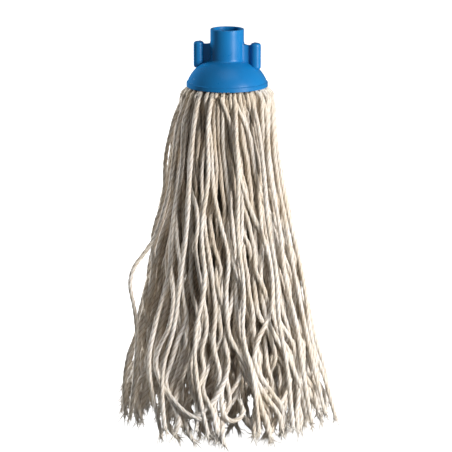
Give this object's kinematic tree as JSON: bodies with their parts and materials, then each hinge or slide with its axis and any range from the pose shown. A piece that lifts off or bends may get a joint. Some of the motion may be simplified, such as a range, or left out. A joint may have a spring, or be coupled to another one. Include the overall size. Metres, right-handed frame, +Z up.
{
  "type": "string mop head",
  "caption": "Round screw-on mop head with a two-winged plastic socket cap and a long skirt of limp twisted cotton strands.",
  "frame": {"origin": "centre of the handle socket's mouth, where the collar's top face meets the socket's axis", "axes": "+Z up along the socket's axis, out of its mouth; the skirt hangs towards -Z; -Y is the side that faces the viewer; the grip wings lie near +X and -X, turned 12 degrees about Z with the right wing towards the viewer"},
  "size_m": [0.2124, 0.2034, 0.3787],
  "materials": {
    "blue_plastic": "glossy moulded polypropylene with a fine moulding grain",
    "plug_plastic": "natural moulded plastic, matt",
    "ring_steel": "drawn galvanised wire",
    "cotton_yarn": "undyed soft twisted cotton, matt"
  },
  "bodies": {
    "head": {"socket_cap": "blue_plastic", "clamp_plug": "plug_plastic", "binding_ring": "ring_steel", "clamped_yarn": "cotton_yarn", "yarn_core": "cotton_yarn"},
    "tuft_01": {"yarn_tuft_01": "cotton_yarn", "strand_01": "cotton_yarn"},
    "tuft_02": {"yarn_tuft_02": "cotton_yarn", "strand_02": "cotton_yarn"},
    "tuft_03": {"yarn_tuft_03": "cotton_yarn", "strand_03": "cotton_yarn"},
    "tuft_04": {"yarn_tuft_04": "cotton_yarn", "strand_04": "cotton_yarn"},
    "tuft_05": {"yarn_tuft_05": "cotton_yarn", "strand_05": "cotton_yarn"},
    "tuft_06": {"yarn_tuft_06": "cotton_yarn", "strand_06": "cotton_yarn"},
    "tuft_07": {"yarn_tuft_07": "cotton_yarn", "strand_07": "cotton_yarn", "strand_08": "cotton_yarn"},
    "tuft_08": {"yarn_tuft_08": "cotton_yarn", "strand_09": "cotton_yarn", "strand_10": "cotton_yarn"},
    "tuft_09": {"yarn_tuft_09": "cotton_yarn", "strand_11": "cotton_yarn"},
    "tuft_10": {"yarn_tuft_10": "cotton_yarn", "strand_12": "cotton_yarn"},
    "tuft_11": {"yarn_tuft_11": "cotton_yarn", "strand_13": "cotton_yarn", "strand_14": "cotton_yarn"},
    "tuft_12": {"yarn_tuft_12": "cotton_yarn", "strand_15": "cotton_yarn", "strand_16": "cotton_yarn"}
  },
  "joints": [
    {"name": "tuft_lift_01", "type": "hinge", "parent": "head", "child": "tuft_01", "pos_m": [0.03671, 0.00983, -0.0575], "axis": [0.2588, -0.9659, 0], "range_deg": [0, 60]},
    {"name": "tuft_lift_02", "type": "hinge", "parent": "head", "child": "tuft_02", "pos_m": [0.02687, 0.02687, -0.0575], "axis": [0.7071, -0.7071, 0], "range_deg": [0, 60]},
    {"name": "tuft_lift_03", "type": "hinge", "parent": "head", "child": "tuft_03", "pos_m": [0.00983, 0.03671, -0.0575], "axis": [0.9659, -0.2588, 0], "range_deg": [0, 60]},
    {"name": "tuft_lift_04", "type": "hinge", "parent": "head", "child": "tuft_04", "pos_m": [-0.00983, 0.03671, -0.0575], "axis": [0.9659, 0.2588, 0], "range_deg": [0, 60]},
    {"name": "tuft_lift_05", "type": "hinge", "parent": "head", "child": "tuft_05", "pos_m": [-0.02687, 0.02687, -0.0575], "axis": [0.7071, 0.7071, 0], "range_deg": [0, 60]},
    {"name": "tuft_lift_06", "type": "hinge", "parent": "head", "child": "tuft_06", "pos_m": [-0.03671, 0.00983, -0.0575], "axis": [0.2588, 0.9659, 0], "range_deg": [0, 60]},
    {"name": "tuft_lift_07", "type": "hinge", "parent": "head", "child": "tuft_07", "pos_m": [-0.03671, -0.00983, -0.0575], "axis": [-0.2588, 0.9659, 0], "range_deg": [0, 60]},
    {"name": "tuft_lift_08", "type": "hinge", "parent": "head", "child": "tuft_08", "pos_m": [-0.02687, -0.02687, -0.0575], "axis": [-0.7071, 0.7071, 0], "range_deg": [0, 60]},
    {"name": "tuft_lift_09", "type": "hinge", "parent": "head", "child": "tuft_09", "pos_m": [-0.00983, -0.03671, -0.0575], "axis": [-0.9659, 0.2588, 0], "range_deg": [0, 60]},
    {"name": "tuft_lift_10", "type": "hinge", "parent": "head", "child": "tuft_10", "pos_m": [0.00983, -0.03671, -0.0575], "axis": [-0.9659, -0.2588, 0], "range_deg": [0, 60]},
    {"name": "tuft_lift_11", "type": "hinge", "parent": "head", "child": "tuft_11", "pos_m": [0.02687, -0.02687, -0.0575], "axis": [-0.7071, -0.7071, 0], "range_deg": [0, 60]},
    {"name": "tuft_lift_12", "type": "hinge", "parent": "head", "child": "tuft_12", "pos_m": [0.03671, -0.00983, -0.0575], "axis": [-0.2588, -0.9659, 0], "range_deg": [0, 60]}
  ]
}
